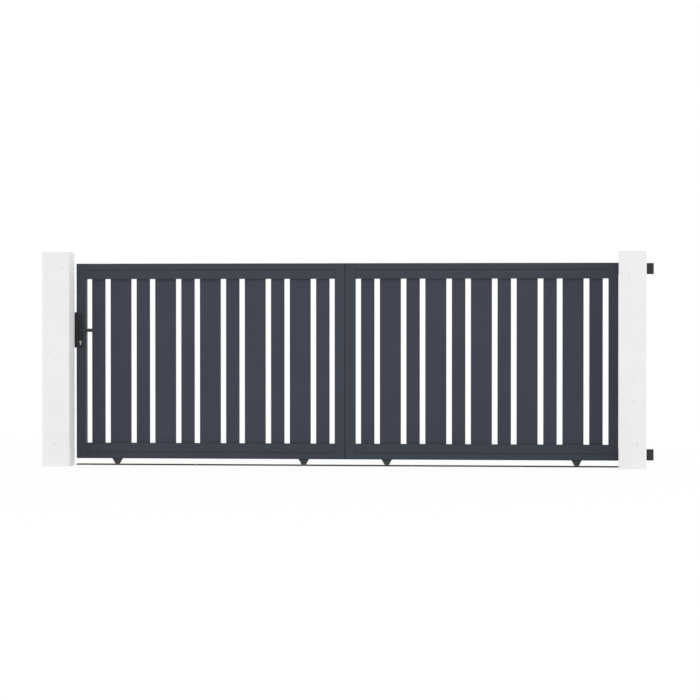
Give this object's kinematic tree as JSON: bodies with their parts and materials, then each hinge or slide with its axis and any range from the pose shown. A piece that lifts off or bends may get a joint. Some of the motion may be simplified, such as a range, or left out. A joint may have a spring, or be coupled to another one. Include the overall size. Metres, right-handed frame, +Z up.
{
  "type": "sliding driveway gate",
  "caption": "Straight sliding gate with upright slats of two widths in a hollow frame, rolling on a ground rail behind two square rendered pillars, with a lever lock and keeper.",
  "frame": {"origin": "centre of the left pillar's foot, on the ground", "axes": "+X along the gate, the way it opens; +Y from the street into the drive; +Z up"},
  "size_m": [4.453, 0.348, 1.57],
  "materials": {
    "render_coat": "matte",
    "leaf_coat": "satin",
    "track_steel": "satin",
    "dark_coat": "satin",
    "handle_black": "satin",
    "nickel": "satin",
    "spindle_steel": "satin",
    "wheel_steel": "satin",
    "axle_steel": "satin",
    "nylon": "matte",
    "cap_plastic": "matte"
  },
  "bodies": {
    "root": {"left_pillar": "render_coat", "right_pillar": "render_coat", "ground_rail": "track_steel", "keeper": "dark_coat", "guide_bracket": "dark_coat", "guide_rollers": "nylon", "guide_bolts": "axle_steel"},
    "leaf": {"left_half_left_stile": "leaf_coat", "left_half_right_stile": "leaf_coat", "left_half_top_rail": "leaf_coat", "left_half_bottom_rail": "leaf_coat", "left_half_narrow_slats": "leaf_coat", "left_half_wide_slats": "leaf_coat", "right_half_left_stile": "leaf_coat", "right_half_right_stile": "leaf_coat", "right_half_top_rail": "leaf_coat", "right_half_bottom_rail": "leaf_coat", "right_half_narrow_slats": "leaf_coat", "right_half_wide_slats": "leaf_coat", "joining_strip": "leaf_coat", "top_tail": "leaf_coat", "bottom_tail": "leaf_coat", "top_tail_cap": "cap_plastic", "bottom_tail_cap": "cap_plastic", "lock_plate_street": "handle_black", "lock_plate_inside": "handle_black", "lock_cylinder": "nickel", "wheel_forks": "dark_coat", "wheel_axles": "axle_steel"},
    "lever": {"lever_street": "handle_black", "lever_inside": "handle_black", "lever_spindle": "spindle_steel"},
    "wheel_1": {"wheel_1": "wheel_steel"},
    "wheel_2": {"wheel_2": "wheel_steel"},
    "wheel_3": {"wheel_3": "wheel_steel"},
    "wheel_4": {"wheel_4": "wheel_steel"}
  },
  "joints": [
    {"name": "gate_slide", "type": "slide", "parent": "root", "child": "leaf", "axis": [1, 0, 0], "range_m": [0, 3.84]},
    {"name": "lever_turn", "type": "hinge", "parent": "leaf", "child": "lever", "pos_m": [0.14, 0.159, 0.996], "axis": [0, 1, 0], "range_deg": [0, 40], "stiffness_Nm_per_rad": 2, "springref_deg": -17.19},
    {"name": "wheel_1_spin", "type": "hinge", "parent": "leaf", "child": "wheel_1", "pos_m": [0.41, 0.159, 0.0323], "axis": [0, 1, 0], "continuous": true},
    {"name": "wheel_2_spin", "type": "hinge", "parent": "leaf", "child": "wheel_2", "pos_m": [1.797, 0.159, 0.0323], "axis": [0, 1, 0], "continuous": true},
    {"name": "wheel_3_spin", "type": "hinge", "parent": "leaf", "child": "wheel_3", "pos_m": [2.409, 0.159, 0.0323], "axis": [0, 1, 0], "continuous": true},
    {"name": "wheel_4_spin", "type": "hinge", "parent": "leaf", "child": "wheel_4", "pos_m": [3.796, 0.159, 0.0323], "axis": [0, 1, 0], "continuous": true}
  ],
  "couplings": [
    {"joint": "wheel_1_spin", "follows": "gate_slide", "rad_per_m": 45.455},
    {"joint": "wheel_2_spin", "follows": "gate_slide", "rad_per_m": 45.455},
    {"joint": "wheel_3_spin", "follows": "gate_slide", "rad_per_m": 45.455},
    {"joint": "wheel_4_spin", "follows": "gate_slide", "rad_per_m": 45.455}
  ]
}
